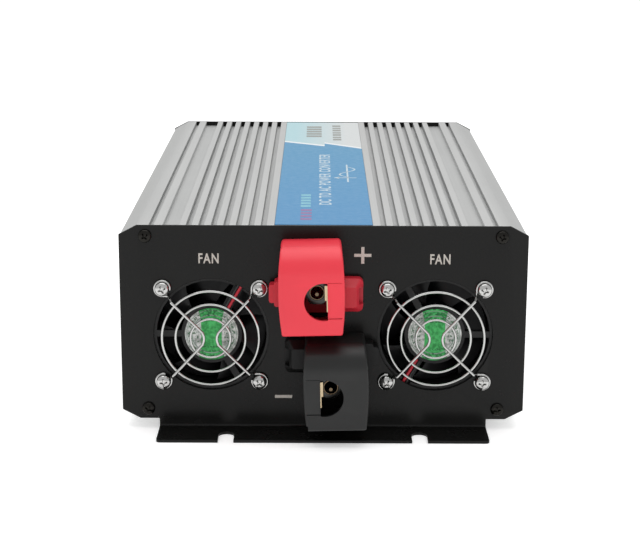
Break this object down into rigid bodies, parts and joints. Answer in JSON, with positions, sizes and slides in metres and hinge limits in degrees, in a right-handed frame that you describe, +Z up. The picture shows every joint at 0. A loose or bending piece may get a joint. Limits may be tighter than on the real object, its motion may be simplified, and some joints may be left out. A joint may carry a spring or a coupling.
{
  "type": "power inverter",
  "caption": "Bench and vehicle power inverter in a finned aluminium housing, with guarded fans and covered battery terminals on one end and outlets with a switch on the other.",
  "frame": {"origin": "middle of the whole outline, on the plane that the two bent feet stand on", "axes": "+Z up, the fan and battery terminal end faces -Y, the outlet end faces +Y, +X to the right seen from the fan end"},
  "size_m": [0.21, 0.3866, 0.1095],
  "materials": {
    "anodised_aluminium": "matte grey anodised extrusion with fine draw lines",
    "black_steel": "semi-gloss black powder coat",
    "overlay_film": "printed satin film, blue with a pale far end",
    "black_plastic": "moulded black plastic",
    "rotor_plastic": "moulded black plastic, glossier than the frame",
    "red_plastic": "satin red moulded plastic",
    "cover_black": "satin black moulded plastic",
    "chrome_wire": "bright plated wire and screws",
    "brass": "plain machined brass",
    "nickel": "nickel plated",
    "copper": "plain copper strip",
    "fan_sticker": "silver film with a green band",
    "lead_insulation": "flexible insulation, one red core and one black core",
    "outlet_plastic": "moulded black plastic",
    "rocker_plastic": "translucent red plastic",
    "green_lens": "clear green lens",
    "red_lens": "clear red lens",
    "circuit_board": "green lacquered board",
    "ferrite": "sintered ferrite",
    "winding": "enamelled copper wire",
    "capacitor_sleeve": "shrink sleeve"
  },
  "bodies": {
    "chassis": {"ac_outlet_1": "outlet_plastic", "ac_outlet_2": "outlet_plastic", "bottom_housing": "anodised_aluminium", "bulk_capacitor": "capacitor_sleeve", "control_board": "circuit_board", "fault_led": "red_lens", "front_panel": "black_steel", "front_panel_screw_1": "black_steel", "front_panel_screw_2": "black_steel", "front_panel_screw_3": "black_steel", "front_panel_screw_4": "black_steel", "ground_screw": "brass", "input_capacitor": "capacitor_sleeve", "left_fan_frame": "black_plastic", "left_fan_guard": "chrome_wire", "left_fan_hub_label": "fan_sticker", "left_fan_lead": "lead_insulation", "left_fan_screw_1": "chrome_wire", "left_fan_screw_2": "chrome_wire", "left_fan_screw_3": "chrome_wire", "left_fan_screw_4": "chrome_wire", "left_heat_sink": "anodised_aluminium", "main_circuit_board": "circuit_board", "negative_bus_bar": "copper", "negative_terminal_base": "cover_black", "negative_terminal_stud": "brass", "output_inductor": "winding", "positive_bus_bar": "copper", "positive_terminal_base": "red_plastic", "positive_terminal_stud": "brass", "power_led": "green_lens", "power_switch_housing": "black_plastic", "rear_panel": "black_steel", "rear_panel_screw_1": "black_steel", "rear_panel_screw_2": "black_steel", "rear_panel_screw_3": "black_steel", "rear_panel_screw_4": "black_steel", "right_fan_frame": "black_plastic", "right_fan_guard": "chrome_wire", "right_fan_hub_label": "fan_sticker", "right_fan_lead": "lead_insulation", "right_fan_screw_1": "chrome_wire", "right_fan_screw_2": "chrome_wire", "right_fan_screw_3": "chrome_wire", "right_fan_screw_4": "chrome_wire", "right_heat_sink": "anodised_aluminium", "top_housing": "anodised_aluminium", "top_overlay": "overlay_film", "transformer_core": "ferrite", "transformer_winding": "winding", "usb_port": "black_plastic"},
    "left_rotor": {"left_fan_rotor": "rotor_plastic"},
    "right_rotor": {"right_fan_rotor": "rotor_plastic"},
    "positive_cover": {"positive_terminal_cover": "red_plastic"},
    "negative_cover": {"negative_terminal_cover": "cover_black"},
    "positive_washer": {"positive_terminal_washer": "nickel"},
    "positive_nut": {"positive_terminal_nut": "nickel"},
    "negative_washer": {"negative_terminal_washer": "nickel"},
    "negative_nut": {"negative_terminal_nut": "nickel"},
    "rocker": {"power_rocker": "rocker_plastic"}
  },
  "joints": [
    {"name": "left_fan_spin", "type": "hinge", "parent": "chassis", "child": "left_rotor", "pos_m": [-0.058, -0.148, 0.0514], "axis": [0, 1, 0], "continuous": true},
    {"name": "right_fan_spin", "type": "hinge", "parent": "chassis", "child": "right_rotor", "pos_m": [0.058, -0.148, 0.0514], "axis": [0, 1, 0], "continuous": true},
    {"name": "positive_cover_pull", "type": "slide", "parent": "chassis", "child": "positive_cover", "axis": [0, -1, 0], "range_m": [0, 0.045]},
    {"name": "negative_cover_pull", "type": "slide", "parent": "chassis", "child": "negative_cover", "axis": [0, -1, 0], "range_m": [0, 0.045]},
    {"name": "power_rocker_tilt", "type": "hinge", "parent": "chassis", "child": "rocker", "pos_m": [-0.048, 0.16925, 0.0715], "axis": [1, 0, 0], "range_deg": [0, 16]},
    {"name": "positive_washer_travel", "type": "slide", "parent": "chassis", "child": "positive_washer", "axis": [0, -1, 0], "range_m": [0, 0.008]},
    {"name": "positive_nut_turn", "type": "hinge", "parent": "positive_washer", "child": "positive_nut", "pos_m": [-0.0033, -0.173, 0.078], "axis": [0, -1, 0], "range_deg": [0, 2300]},
    {"name": "negative_washer_travel", "type": "slide", "parent": "chassis", "child": "negative_washer", "axis": [0, -1, 0], "range_m": [0, 0.008]},
    {"name": "negative_nut_turn", "type": "hinge", "parent": "negative_washer", "child": "negative_nut", "pos_m": [0.004, -0.173, 0.0276], "axis": [0, -1, 0], "range_deg": [0, 2300]}
  ],
  "couplings": [
    {"joint": "positive_washer_travel", "follows": "positive_nut_turn", "m_per_rad": 0.00019894},
    {"joint": "negative_washer_travel", "follows": "negative_nut_turn", "m_per_rad": 0.00019894}
  ]
}
